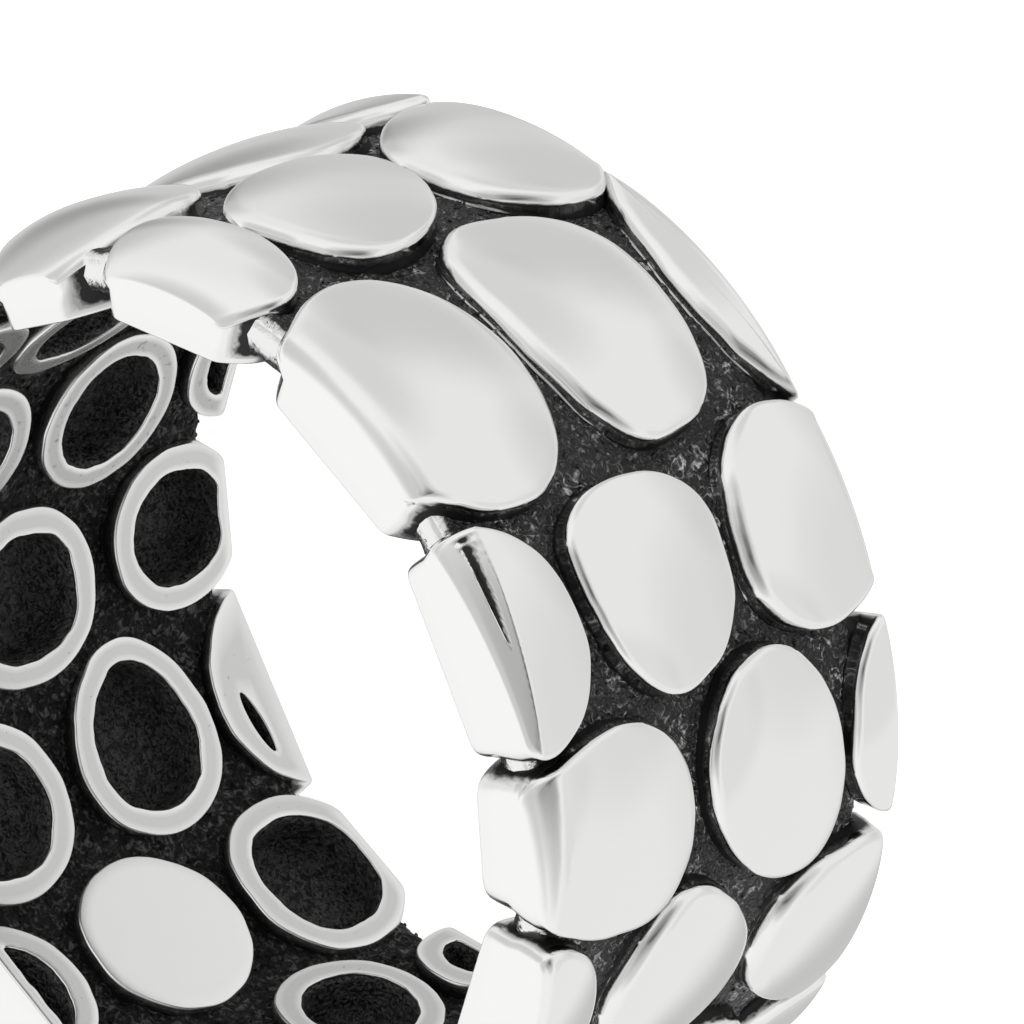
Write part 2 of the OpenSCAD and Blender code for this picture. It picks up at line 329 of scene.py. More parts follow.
columns = np.arange(angle_steps)
i, j = np.nonzero(open_cells)
after = (i + 1) % angle_steps
size = height_steps + 1
outer_index = columns[:, None] * size + np.arange(size)[None, :]
inner_index = outer_index + angle_steps * size
inner_index[:, 0] = outer_index[:, 0]
inner_index[:, -1] = outer_index[:, -1]
outside = [outer_index[i, j], outer_index[after, j], outer_index[after, j + 1], outer_index[i, j + 1]]
inside = [inner_index[i, j], inner_index[i, j + 1], inner_index[after, j + 1], inner_index[after, j]]
quads = [np.stack(outside, 1), np.stack(inside, 1)]
before_open = np.roll(open_cells, 1, axis=0)
for edges, flipped in ((before_open & ~open_cells, False), (~before_open & open_cells, True)):
    i, j = np.nonzero(edges)
    wall = [outer_index[i, j], outer_index[i, j + 1], inner_index[i, j + 1], inner_index[i, j]]
    quads.append(np.stack(wall[::-1] if flipped else wall, 1))
below_open = np.pad(open_cells, ((0, 0), (1, 0)))[:, :height_steps]
for edges, flipped in ((below_open & ~open_cells, True), (~below_open & open_cells, False)):
    i, j = np.nonzero(edges[:, 1:])
    j = j + 1
    after = (i + 1) % angle_steps
    wall = [outer_index[i, j], outer_index[after, j], inner_index[after, j], inner_index[i, j]]
    quads.append(np.stack(wall[::-1] if flipped else wall, 1))
quads = np.concatenate(quads)

plain = np.zeros((2, angle_steps, size, 3))
for side, sign in enumerate((1, -1)):
    radius = WEB_MIDDLE + sign * half_web
    plain[side, :, :, 0] = np.sin(web_angles)[:, None] * radius[None, :]
    plain[side, :, :, 1] = -np.cos(web_angles)[:, None] * radius[None, :]
    plain[side, :, :, 2] = web_heights[None, :]
plain = plain.reshape(-1, 3)

# The web is black but for its two edges. A fade is the length over which the black sets in from an edge,
# and its start is how far that has come at the edge itself: below 0, the bare silver reaches further in.
oxide = np.concatenate([
    np.tile(smooth(from_end / OUTSIDE_FADE + OUTSIDE_FADE_START), angle_steps),
    np.tile(smooth(from_end / INSIDE_FADE + INSIDE_FADE_START) * THICKER_INSIDE, angle_steps),
])
used, faces = np.unique(quads, return_inverse=True)
points = plain[used]
oxide = oxide[used]
outward = points * [1, 1, 0] / np.linalg.norm(points[:, :2], axis=1)[:, None]
side = np.where(used < angle_steps * size, 1.0, -1.0)
casting = COARSE_HEIGHT * rough(points, COARSE_GRAIN, 1) + FINE_HEIGHT * rough(points, FINE_GRAIN, 2, 2)
points = points + outward * (side * casting * oxide)[:, None]
faces = [list(dict.fromkeys(face)) for face in faces.reshape(quads.shape).tolist()]
web = add_mesh("blackened_web", points, faces, oxide, blackened)
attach(web, "root")
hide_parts("cast_band")


# The pebbles
# Each pebble is a domed block of the same casting, ground flat behind and where an end plane cuts it,
# then mirror polished on its top and its edges, with a satin rim behind. Its sides run down into the
# blackened ground.
AROUND_ARC = 66
AROUND_CORNER = 5
AROUND_CUT = 20
AROUND = AROUND_ARC + 2 * AROUND_CORNER + AROUND_CUT
RINGS_ON_TOP = 16
RINGS_ON_SPLIT_TOP = 48
RINGS_IN_HOLLOW = 4
CUP_RIM = 0.56
CUP_DEPTH = 1.15
CUP_END_WALL = 0.3
CUP_FLOOR_INSET = 0.1
CUP_FLOOR_CORNER = 0.12
TOP_METAL = 0.4
RIM_EDGE = 0.05
# The inner rims are greyed as painted shade, a grey film in place of the shaded table they would mirror
# inside the ring; from an angle round the band onwards they are greyed less.
RIM_PAINTED_SHADE = 0.2
LIGHTER_RIM_PAINTED_SHADE = 0.12
LIGHTER_RIM_SHADE_FROM_ANGLE = 140
# How much the polished sides towards the upper rim of some pebbles are greyed in colour.
UPPER_SIDE_GREYING = 0.22
MOUTH_EDGE = 0.035
BEHIND_CRUST = 0.03
CROWN_POWER = 3
FALL_STEPS = 400
FOOT_FLARE = 0.05
BLACK_FADE = 0.25
END_BLACK_FADE = 0.3
END_FADE_START = -0.3
SPLIT_HALF_WIDTH = 0.06
SPLIT_FROM_END = 0.25
SPLIT_DRIFT = 0.14
SLOT = Pebble(182.5, 0.82, 4.9, 0.15, -11, 1.8)
SLOT_DEPTH = 0.6


def spread(points, count, start, stop):
    """Points at even steps along a line, leaving out a length at each end."""
    steps = np.linalg.norm(np.diff(points, axis=0), axis=1)
    run = np.concatenate([[0], np.cumsum(steps)])
    where = np.linspace(start, run[-1] - stop, count)
    return np.stack([np.interp(where, run, points[:, 0]), np.interp(where, run, points[:, 1])], 1)


def cut_side(pebble):
    """1 for a pebble cut by the upper end plane, -1 by the lower one, 0 for a whole one."""
    if pebble.height + pebble.half_height > BAND_WIDTH:
        return 1
    if pebble.height - pebble.half_height < 0:
        return -1
    return 0


def plan(pebble, radius, inset, end_inset=0.0):
    """A pebble's outline drawn in by inset, and by end_inset at its end plane, as evenly spaced points
    from its centre, with how much each point belongs to the straight cut."""
    side = cut_side(pebble)
    turns = np.linspace(math.pi / 2, 2.5 * math.pi, OUTLINE_STEPS)
    points = superellipse(pebble, radius, inset, turns if side >= 0 else -turns)
    if side == 0:
        return spread(points, AROUND + 1, 0, 0)[:-1], np.zeros(AROUND)
    if side < 0:
        points = points * [1, -1]
    limit = (BAND_WIDTH - pebble.height if side > 0 else pebble.height) - end_inset
    inside = np.nonzero(points[:, 1] <= limit)[0]
    first, last = inside[0], inside[-1]
    arc = points[first:last + 1]
    if first > 0:
        share = (limit - points[first, 1]) / (points[first - 1, 1] - points[first, 1])
        start = points[first] + share * (points[first - 1] - points[first])
        share = (limit - points[last, 1]) / (points[last + 1, 1] - points[last, 1])
        end = points[last] + share * (points[last + 1] - points[last])
        arc = np.concatenate([[start], arc, [end]])
    arc_points = spread(arc, AROUND_ARC, pebble.corner, pebble.corner)
    cut_points = spread(np.stack([arc[-1], arc[0]]), AROUND_CUT, pebble.corner, pebble.corner)
    t = (np.arange(AROUND_CORNER) + 1)[:, None] / (AROUND_CORNER + 1)

    def bend(a, b, c):
        return (1 - t) ** 2 * a + 2 * t * (1 - t) * b + t ** 2 * c

    first_corner = bend(arc_points[-1], arc[-1], cut_points[0])
    last_corner = bend(cut_points[-1], arc[0], arc_points[0])
    points = np.concatenate([arc_points, first_corner, cut_points, last_corner])
    share = smooth(t[:, 0])
    cut = np.concatenate([np.zeros(AROUND_ARC), share, np.ones(AROUND_CUT), share[::-1]])
    if side < 0:
        points = points * [1, -1]
    return points, cut


def across_share(pebble, points):
    """How far points are from a pebble's middle across it: -1 to 1 as the angle grows."""
    return points[:, 0] / (math.radians(pebble.half_width) * OUTER_RADIUS)


def in_split(pebble, points):
    """1 in the middle of the split in a pebble's facet and 0 outside it. The split opens from a point near
    the pebble's middle and closes short of its far corner."""
    share = across_share(pebble, points)
    to_end = BAND_WIDTH - pebble.height - points[:, 1]
    half_width = SPLIT_HALF_WIDTH * np.clip(share / 0.5 + 0.1, 0, 1) * np.clip((0.95 - share) / 0.15, 0, 1)
    off_middle = np.abs(to_end - SPLIT_FROM_END - SPLIT_DRIFT * share)
    return np.clip(1 - off_middle / (half_width + 0.001), 0, 1)


def top_radius(pebble, points):
    """Distance of a pebble's polished top from the ring's axis."""
    radius = np.sqrt(OUTER_RADIUS ** 2 - points[:, 1] ** 2)
    radius = radius - pebble.crown * np.clip(fullness(pebble, OUTER_RADIUS, points), 0, 1) ** CROWN_POWER
    side = cut_side(pebble)
    if side != 0:
        height = pebble.height + points[:, 1]
        to_end = BAND_WIDTH - height if side > 0 else height
        run = np.linspace(pebble.fall.distance[0], 0, FALL_STEPS)
        slope = np.interp(run, pebble.fall.distance[::-1], pebble.fall.slope[::-1])
        drop = np.cumsum(slope) * (run[0] - run[1])
        reach = 1 + pebble.slant * np.clip(across_share(pebble, points), -1, 1)
        radius = radius - np.interp(to_end / reach, run[::-1], drop[::-1]) * reach
        if pebble.split > 0:
            radius = radius - pebble.split * in_split(pebble, points)
    return radius


def outside_points(pebble, points, radius):
    """Points of the outer part in space: walls are radial, so widths shrink towards the axis."""
    turn = math.radians(pebble.angle) + points[:, 0] / OUTER_RADIUS
    radius = np.broadcast_to(radius, turn.shape)
    return np.stack([radius * np.sin(turn), -radius * np.cos(turn), pebble.height + points[:, 1]], 1)


def inside_points(pebble, points, distance):
    """Points of the part behind in space: flat faces at a distance from the axis, with straight walls."""
    s, c = math.sin(math.radians(pebble.angle)), math.cos(math.radians(pebble.angle))
    distance = np.broadcast_to(distance, points[:, 0].shape)
    x = distance * s + points[:, 0] * c
    y = -distance * c + points[:, 0] * s
    return np.stack([x, y, pebble.height + points[:, 1]], 1)


def ray_plan(shape, centre, points):
    """Points of a superellipse about its centre, on the rays from that centre to the given points."""
    ray = turned(points - centre, -shape.tilt)
    ray = ray / np.linalg.norm(ray, axis=1)[:, None]
    across = math.radians(shape.half_width) * INNER_RADIUS
    reach = (np.abs(ray[:, 0] / across) ** shape.squareness
             + np.abs(ray[:, 1] / shape.half_height) ** shape.squareness) ** (-1 / shape.squareness)
    return turned(ray * reach[:, None], shape.tilt) + centre


def shell(rings, first_pole, last_pole):
    """Points and faces of a closed skin over rings of equal length, with a pole at each end."""
    rings = np.array(rings)
    count, around = rings.shape[:2]
    points = np.concatenate([rings.reshape(-1, 3), [first_pole, last_pole]])
    here = np.arange(around)
    there = (here + 1) % around
    faces = []
    for k in range(count - 1):
        a, b = k * around, (k + 1) * around
        faces += np.stack([a + here, a + there, b + there, b + here], 1).tolist()
    faces += np.stack([there, here, np.full(around, count * around)], 1).tolist()
    last = (count - 1) * around
    faces += np.stack([last + here, last + there, np.full(around, count * around + 1)], 1).tolist()
    corners = np.array([[face[0], face[1], face[2]] for face in faces])
    a, b, c = (points[corners[:, k]] for k in range(3))
    if np.sum(a * np.cross(b, c)) < 0:
        faces = [face[::-1] for face in faces]
    return points, faces


def wobble(points, size, grain, salt):
    """Small hand-made unevenness of an outline: each point moves along its ray from the centre."""
    flat = np.concatenate([points, np.full((len(points), 1), salt * 4.7)], 1)
    amount = size * rough(flat, grain, salt, 2)
    ray = points / np.maximum(np.linalg.norm(points, axis=1), 0.3)[:, None]
    return ray * amount[:, None]


def mouth_of(pebble, salt):
    """The outline of a hollow's mouth, as a function of how far it is drawn in, and its centre."""
    if pebble.behind == "slot":
        across = math.radians(SLOT.angle - pebble.angle) * INNER_RADIUS
        offset = np.array([across, SLOT.height - pebble.height])
        outline = plan(pebble, INNER_RADIUS, 0.0)[0]

        def mouth(inset):
            smaller = SLOT._replace(half_height=SLOT.half_height - inset)
            return ray_plan(smaller, offset, outline)

        return mouth, offset
    base = plan(pebble, INNER_RADIUS, CUP_RIM, CUP_END_WALL)[0]
    uneven = wobble(base, 0.05, 0.8, salt + 50) + wobble(base, 0.02, 0.25, salt + 90)

    def mouth(inset):
        return plan(pebble, INNER_RADIUS, CUP_RIM + inset, CUP_END_WALL + inset)[0] + uneven

    return mouth, base.mean(0)


def floor_distance(pebble, points):
    """Distance from the axis of a hollow's floor, which leaves enough metal under the polished top."""
    if pebble.behind == "slot":
        return np.full(len(points), INNER_RADIUS + SLOT_DEPTH)
    metal = top_radius(pebble, points) * np.cos(points[:, 0] / OUTER_RADIUS) - TOP_METAL
    return np.minimum(metal, INNER_RADIUS + CUP_DEPTH)


def quarter_turn(steps):
    """Cosine and sine at even steps over a right angle, from level to upright."""
    return [(math.cos(math.radians(90 * k / steps)), math.sin(math.radians(90 * k / steps)))
            for k in range(steps + 1)]


def inner_rings(pebble, salt):
    """Rings from the middle of a pebble's hollow, or of its flat back, over its rim and up to the web,
    with how black each is and the pole that closes the first of them."""
    base, cut = plan(pebble, INNER_RADIUS, 0.0)
    uneven = wobble(base, 0.035, 0.9, salt) * (1 - cut)[:, None]
    rings = []
    oxide = []
    if pebble.behind == "flat":
        centre = base.mean(0)
        for share in (0.3, 0.6, 0.85):
            rings.append(inside_points(pebble, centre + (base - centre) * share, INNER_RADIUS))
            oxide.append(0.0)
        first_pole = inside_points(pebble, centre[None, :], INNER_RADIUS)[0]
    else:
        mouth, centre = mouth_of(pebble, salt)
        floor = mouth(CUP_FLOOR_INSET)
        deep = floor_distance(pebble, floor) + BEHIND_CRUST
        first_pole = inside_points(pebble, centre[None, :], deep.max())[0]
        rings.append(inside_points(pebble, floor, deep))
        rings.append(inside_points(pebble, mouth(0.0), deep - CUP_FLOOR_CORNER))
        rings.append(inside_points(pebble, mouth(0.0), INNER_RADIUS + 0.2))
        oxide += [1.0, 1.0, 1.0]
        for c, s in quarter_turn(3):
            edge = mouth(-MOUTH_EDGE * (1 - c))
            rings.append(inside_points(pebble, edge, INNER_RADIUS + MOUTH_EDGE * (1 - s)))
        oxide += [0.35, 0.0, 0.0, 0.0]
        for share in (0.25, 0.6):
            between = mouth(-MOUTH_EDGE) * (1 - share) + (base + uneven) * share
            rings.append(inside_points(pebble, between, INNER_RADIUS))
            # Painted shade: the rims are greyed as if they mirrored the shaded table inside the ring, less
            # so from an angle round the band onwards.
            oxide.append(RIM_PAINTED_SHADE if pebble.angle < LIGHTER_RIM_SHADE_FROM_ANGLE else LIGHTER_RIM_PAINTED_SHADE)
    for c, s in reversed(quarter_turn(3)):
        points = plan(pebble, INNER_RADIUS, RIM_EDGE * (1 - c), RIM_EDGE * (1 - c))[0] + uneven
        rings.append(inside_points(pebble, points, INNER_RADIUS + RIM_EDGE * (1 - s)))
        oxide.append(0.0)
    for depth, black in ((0.12, 0.0), (0.24, 0.7), (0.36, 1.0), (0.62, 1.0)):
        wider = (base + uneven) * [1 + depth / INNER_RADIUS, 1]
        rings.append(inside_points(pebble, wider, INNER_RADIUS + depth))
        oxide.append(black)
    return rings, oxide, first_pole


def side_rings(pebble, salt):
    """Rings from a pebble's foot in the web up its sides and over its polished top edge, with how black
    each is and the outline where its top begins."""
    outline, cut = plan(pebble, OUTER_RADIUS, 0.0)
    arc = (1 - cut)[:, None]
    uneven = wobble(outline, 0.045, 1.1, salt + 20) * arc
    outline = outline + uneven
    after = np.roll(outline, -1, axis=0) - np.roll(outline, 1, axis=0)
    upward = np.abs(after[:, 0]) / np.linalg.norm(after, axis=1) * np.sign(outline[:, 1])
    to_upper_rim = smooth(upward * 1.25)
    broad = pebble.edge + pebble.bevel * to_upper_rim
    widest = pebble.edge + pebble.bevel
    edge = broad * (1 - cut) + pebble.soft * cut
    lip = top_radius(pebble, outline) - edge
    flare = FOOT_FLARE * arc * outline / np.linalg.norm(outline, axis=1)[:, None]
    foot = np.minimum(lip - 0.02, GROUND_OUTSIDE)
    rings = [
        outside_points(pebble, outline + flare, np.minimum(lip - 0.03, WEB_MIDDLE + 0.2)),
        outside_points(pebble, outline + flare, foot),
    ]
    oxide = [1.0, 1.0]
    clean = pebble.clean + pebble.side * to_upper_rim
    # The polished sides towards the upper rim of pebbles with a deeper polish there are greyed in colour.
    greyed_side = UPPER_SIDE_GREYING * (1 if pebble.side > 0 else 0) * to_upper_rim
    for share in (0.2, 0.4, 0.6, 0.8):
        points = outline + flare * (1 - share) ** 2
        rings.append(outside_points(pebble, points, foot + (lip - foot) * share))
        depth = pebble.edge + (1 - share) * (OUTER_RADIUS - GROUND_OUTSIDE - pebble.edge)
        oxide.append(np.maximum(np.clip(0.5 + (depth - clean) / BLACK_FADE, 0, 1), greyed_side))
    for c, s in quarter_turn(6):
        inner = plan(pebble, OUTER_RADIUS, widest * (1 - c), pebble.soft * (1 - c))[0] + uneven
        points = outline + (inner - outline) * np.maximum(broad / widest, cut)[:, None]
        rings.append(outside_points(pebble, points, top_radius(pebble, points) - edge * (1 - s)))
        oxide.append(0.0)
    return rings, oxide, points


def top_rings(pebble, outline):
    """Rings over a pebble's top from its outline inwards, with how black each is and the pole in the
    middle. Where the facet is split, a ring follows the crease between it and the rest of the top."""
    centre = outline.mean(0)
    count = RINGS_ON_SPLIT_TOP if pebble.split > 0 else RINGS_ON_TOP
    shares = 1 - np.linspace(0, 1, count)[1:-1] ** 1.1
    top = centre + (outline - centre) * shares[:, None, None]
    if pebble.split > 0:
        reach = 1 + pebble.slant * across_share(pebble, outline)
        crease = BAND_WIDTH - pebble.fall.distance[0] * np.maximum(reach, 0.1) - pebble.height
        for column, share in enumerate((crease - centre[1]) / (outline[:, 1] - centre[1])):
            if 0.06 < share < 0.99:
                top[np.argmin(np.abs(shares - share)), column] = centre + (outline[column] - centre) * share
    rings = [outside_points(pebble, ring, top_radius(pebble, ring)) for ring in top]
    oxide = [2 * in_split(pebble, ring) if pebble.split > 0 else 0.0 for ring in top]
    middle = centre[None, :]
    return rings, oxide, outside_points(pebble, middle, top_radius(pebble, middle))[0]


def pebble_shell(pebble, salt):
    """The whole skin of one pebble, from the floor of its hollow round to the middle of its top, and how
    black each point is. Past the hollow it is polished bright near the end planes."""
    back, back_oxide_and_painted_shade, first_pole = inner_rings(pebble, salt)
    side, side_oxide, outline = side_rings(pebble, salt)
    top, top_oxide, last_pole = top_rings(pebble, outline)
    points, faces = shell(back + side + top, first_pole, last_pole)
    points[:, 2] = np.clip(points[:, 2], 0, BAND_WIDTH)
    oxide = back_oxide_and_painted_shade + side_oxide + top_oxide
    oxide = np.concatenate([np.broadcast_to(black, AROUND) for black in oxide] + [[oxide[0], 0.0]])
    to_end = np.minimum(points[:, 2], BAND_WIDTH - points[:, 2])
    number = np.arange(len(points)) // AROUND
    fades = (number >= RINGS_IN_HOLLOW) & (number < len(back) + len(side))
    return points, faces, oxide * np.where(fades, smooth(to_end / END_BLACK_FADE + END_FADE_START), 1)


# Polished sterling silver: ground, then buffed with rouge to a mirror, so it shows the room about it,
# with the slight waviness of hand work and fine buffing lines. The rims inside are satin from wear, and
# their colour is greyed as painted shade, in place of the darker, shaded table they would mirror inside the
# ring.
# Blackening is left at the foot of the sides.
def polished_silver():
    material = bpy.data.materials.new("polished_sterling_silver")
    material.use_nodes = True
    tree = material.node_tree
    shader = tree.nodes["Principled BSDF"]
    shader.inputs["Metallic"].default_value = 1.0
    place = add_node(tree, "ShaderNodeTexCoord").outputs["Object"]
    oxide = add_node(tree, "ShaderNodeAttribute", attribute_name="oxide").outputs["Fac"]
    grain = add_node(tree, "ShaderNodeTexNoise", {"Scale": 1 / (0.2 * MM), "Detail": 3.0},
                     {"Vector": place})
    ragged = add_node(tree, "ShaderNodeMath", {}, {0: oxide, 1: grain.outputs["Fac"]}, operation="ADD")
    black = add_node(tree, "ShaderNodeMapRange", {"From Min": 0.8, "From Max": 1.3},
                     {"Value": ragged.outputs[0]})
    colour = add_node(tree, "ShaderNodeValToRGB", {}, {"Fac": black.outputs[0]})
    set_ramp(colour, [(0.0, "#eeeeed"), (0.35, "#a2a2a2"), (0.7, "#383839"), (1.0, "#2c2c2d")])
    # Greys the colour where the attribute rises above 0: real blackening at the foot of the sides, the
    # greying of some sides towards the upper rim, and painted shade on the inner rims.
    blackening_and_painted_shade = add_node(tree, "ShaderNodeMapRange", {"From Max": 0.2, "To Min": 1.0, "To Max": 0.58},
                    {"Value": oxide})
    blackened_and_shaded_colour = add_node(tree, "ShaderNodeVectorMath", {}, {0: colour.outputs["Color"], 1: blackening_and_painted_shade.outputs[0]},
                      operation="MULTIPLY")
    metal = add_node(tree, "ShaderNodeMapRange", {"From Min": 0.3, "To Min": 1.0, "To Max": 0.35},
                     {"Value": black.outputs[0]})
    tree.links.new(metal.outputs[0], shader.inputs["Metallic"])
    flat = add_node(tree, "ShaderNodeVectorMath", {1: (1, 1, 0)}, {0: place}, operation="MULTIPLY")
    flat = add_node(tree, "ShaderNodeVectorMath", {}, {0: flat.outputs["Vector"]}, operation="LENGTH")
    satin = add_node(tree, "ShaderNodeMapRange",
                     {"From Min": (INNER_RADIUS + 0.6) * MM, "From Max": (INNER_RADIUS + 0.3) * MM,
                      "To Min": 0.11, "To Max": 0.27},
                     {"Value": flat.outputs["Value"]})
    dull = add_node(tree, "ShaderNodeMapRange", {"To Max": 0.42},
                    {"Value": black.outputs[0], "To Min": satin.outputs[0]})
    wave = add_node(tree, "ShaderNodeTexNoise", {"Scale": 1 / (1.1 * MM), "Detail": 1.0}, {"Vector": place})
    soft_wave = add_node(tree, "ShaderNodeBump", {"Strength": 1.0, "Distance": 0.006 * MM},
                         {"Height": wave.outputs["Fac"]})
    lines = add_node(tree, "ShaderNodeMapping",
                     {"Scale": (1 / (0.3 * MM), 1 / (0.3 * MM), 1 / (0.025 * MM))}, {"Vector": place})
    buffing = add_node(tree, "ShaderNodeTexNoise", {"Scale": 1.0, "Detail": 2.0},
                       {"Vector": lines.outputs["Vector"]})
    fine = add_node(tree, "ShaderNodeBump", {"Strength": 1.0, "Distance": 0.0002 * MM},
                    {"Height": buffing.outputs["Fac"], "Normal": soft_wave.outputs["Normal"]})
    tree.links.new(blackened_and_shaded_colour.outputs["Vector"], shader.inputs["Base Color"])
    tree.links.new(dull.outputs[0], shader.inputs["Roughness"])
    tree.links.new(fine.outputs["Normal"], shader.inputs["Normal"])
    return material


def joined(shells):
    """Points and faces of several skins as one."""
    points = []
    faces = []
    start = 0
    for shell_points, shell_faces in shells:
        faces += [[start + corner for corner in face] for face in shell_faces]
        points.append(shell_points)
        start += len(shell_points)
    return np.concatenate(points), faces


polished = polished_silver()
for row_name, row in (("upper", upper_row), ("middle", middle_row), ("lower", lower_row)):
    shells = [pebble_shell(pebble, number + 1) for number, pebble in enumerate(row)]
    points, faces = joined([(points, faces) for points, faces, oxide in shells])
    oxide = np.concatenate([oxide for points, faces, oxide in shells])
    row_piece = add_mesh(f"polished_pebbles_{row_name}", points, faces, oxide, polished)
    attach(row_piece, "root")
    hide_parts("cast_band")


# The blackening in the hollows
# The wax pattern of each pebble was scooped out behind to save silver. The hollows kept their rough cast
# skin and the sulphide that settled in them, so each has a thin black crust below its polished mouth.
THICKER_IN_HOLLOW = 1.14
CRUST = 0.012
CRUST_TOP = 0.07
CRUST_GAP = 0.004
CRUST_GRAIN = 0.22


def crust_shell(pebble, salt):
    """A thin closed skin over the wall and floor of one hollow, rough on the side that shows."""
    mouth, centre = mouth_of(pebble, salt)
    slot = pebble.behind == "slot"
    corner = 0.12 if slot else 0.3
    corner_inset = min(corner, 0.2)
    bump_height = 0.02 if slot else 0.06
    wall = mouth(0.0)
    deep = floor_distance(pebble, wall)
    top = INNER_RADIUS + CRUST_TOP
    rings = []
    show = []
    for share in np.linspace(0, 1, 8):
        rings.append(inside_points(pebble, mouth(CRUST_GAP), top + (deep - corner - top) * share))
        show.append(min(1, share * 6))
    for c, s in quarter_turn(3)[1:]:
        points = mouth(corner_inset * (1 - c) + CRUST_GAP)
        rings.append(inside_points(pebble, points, floor_distance(pebble, points) - corner * (1 - s)))
        show.append(1)
    edge = points
    for share in (0.8, 0.6, 0.4, 0.2):
        points = centre + (edge - centre) * share
        rings.append(inside_points(pebble, points, floor_distance(pebble, points)))
        show.append(1)
    front = np.array(rings)
    front_pole = inside_points(pebble, centre[None, :], floor_distance(pebble, centre[None, :])[0])[0]
    flat = front.reshape(-1, 3)
    inward = inside_points(pebble, centre[None, :], INNER_RADIUS + 0.4)[0] - flat
    inward = inward / np.linalg.norm(inward, axis=1)[:, None]
    bumps = 0.5 + 0.5 * rough(flat, CRUST_GRAIN, salt + 5)
    flat = flat + inward * (np.clip(bumps, 0, 1) * np.repeat(show, AROUND) * bump_height)[:, None]
    front = flat.reshape(front.shape)
    back = []
    for share in (0.0, 1.0):
        back.append(inside_points(pebble, mouth(-CRUST), top + (deep - corner - top) * share))
    points = mouth(corner_inset * 0.5)
    back.append(inside_points(pebble, points, floor_distance(pebble, points) + CRUST))
    to_axis = np.array([-math.sin(math.radians(pebble.angle)), math.cos(math.radians(pebble.angle)), 0])
    return shell(list(front[::-1]) + back, front_pole, front_pole - to_axis * CRUST)


crust_points, crust_faces = joined([
    crust_shell(pebble, number + 1)
    for row in (upper_row, middle_row, lower_row)
    for number, pebble in enumerate(row)
    if pebble.behind != "flat"
])
crust_oxide = np.full(len(crust_points), THICKER_IN_HOLLOW)
crust = add_mesh("hollow_blackening", crust_points, crust_faces, crust_oxide, blackened)
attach(crust, "root")
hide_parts("cast_band")


# Casting grains
# Small beads of metal from air bubbles in the mould stand on the blackened ground. Polishing brushed over
# some of them, so they are the bright specks between the pebbles.
def grain_scatter():
    """Geometry nodes that strew beads of several sizes over the black part of the ground."""
    tree = bpy.data.node_groups.new("casting_grains", "GeometryNodeTree")
    tree.is_modifier = True
    face = tree.interface
    face.new_socket("Ground", in_out="INPUT", socket_type="NodeSocketGeometry")
    for name in ("Grains per square metre", "Smallest", "Largest", "Stretch"):
        face.new_socket(name, in_out="INPUT", socket_type="NodeSocketFloat")
    face.new_socket("Finish", in_out="INPUT", socket_type="NodeSocketMaterial")
    face.new_socket("Grains", in_out="OUTPUT", socket_type="NodeSocketGeometry")
    given = add_node(tree, "NodeGroupInput").outputs
    oxide = add_node(tree, "GeometryNodeInputNamedAttribute", {"Name": "oxide"}, data_type="FLOAT")
    black = add_node(tree, "FunctionNodeCompare", {"B": 0.9}, {"A": oxide.outputs["Attribute"]},
                     data_type="FLOAT", operation="GREATER_THAN")
    spots = add_node(tree, "GeometryNodeDistributePointsOnFaces", {"Seed": 7},
                     {"Mesh": given["Ground"], "Selection": black.outputs["Result"],
                      "Density": given["Grains per square metre"]})
    bead = add_node(tree, "GeometryNodeMeshIcoSphere", {"Radius": 1.0, "Subdivisions": 1})
    size = add_node(tree, "FunctionNodeRandomValue", {"Seed": 11},
                    {"Min": given["Smallest"], "Max": given["Largest"]}, data_type="FLOAT")
    spin = add_node(tree, "FunctionNodeRandomValue", {"Max": (6.28, 6.28, 6.28), "Seed": 5},
                    data_type="FLOAT_VECTOR")
    long = add_node(tree, "ShaderNodeCombineXYZ", {"Y": 1.0, "Z": 1.0}, {"X": given["Stretch"]})
    bean = add_node(tree, "GeometryNodeTransform", {},
                    {"Geometry": bead.outputs["Mesh"], "Scale": long.outputs["Vector"]})
    placed = add_node(tree, "GeometryNodeInstanceOnPoints", {},
                      {"Points": spots.outputs["Points"], "Instance": bean.outputs["Geometry"],
                       "Scale": size.outputs["Value"], "Rotation": spin.outputs["Value"]})
    real = add_node(tree, "GeometryNodeRealizeInstances", {}, {"Geometry": placed.outputs["Instances"]})
    even = add_node(tree, "GeometryNodeSetShadeSmooth", {}, {"Geometry": real.outputs["Geometry"]})
    finish = add_node(tree, "GeometryNodeSetMaterial", {},
                      {"Geometry": even.outputs["Geometry"], "Material": given["Finish"]})
    add_node(tree, "NodeGroupOutput", {}, {"Grains": finish.outputs["Geometry"]})
    return tree


def scatter_on_ground(name, finish, per_square_mm, smallest, largest, stretch):
    """A piece of beads alone, strewn on a copy of the web, with radii in millimetres."""
    piece = web.copy()
    piece.data = web.data.copy()
    piece.name = name
    for tag in [key for key in piece.keys() if key.startswith("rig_")]:
        del piece[tag]
    bpy.context.scene.collection.objects.link(piece)
    scatter = piece.modifiers.new("scatter", "NODES")
    scatter.node_group = grain_scatter()
    inputs = {
        "Grains per square metre": per_square_mm / MM ** 2,
        "Smallest": smallest * MM,
        "Largest": largest * MM,
        "Stretch": stretch,
        "Finish": finish,
    }
    for item in scatter.node_group.interface.items_tree:
        if item.in_out == "INPUT" and item.name in inputs:
            scatter[item.identifier] = inputs[item.name]
    depsgraph = bpy.context.evaluated_depsgraph_get()
    mesh = bpy.data.meshes.new_from_object(piece.evaluated_get(depsgraph))
    piece.modifiers.remove(scatter)
    piece.data = mesh
    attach(piece, "root")
    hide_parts("cast_band")


scatter_on_ground("casting_grains", blackened,
                  per_square_mm=7.0, smallest=0.02, largest=0.055, stretch=1.3)
scatter_on_ground("burnished_grains", polished,
                  per_square_mm=0.6, smallest=0.025, largest=0.07, stretch=2.0)

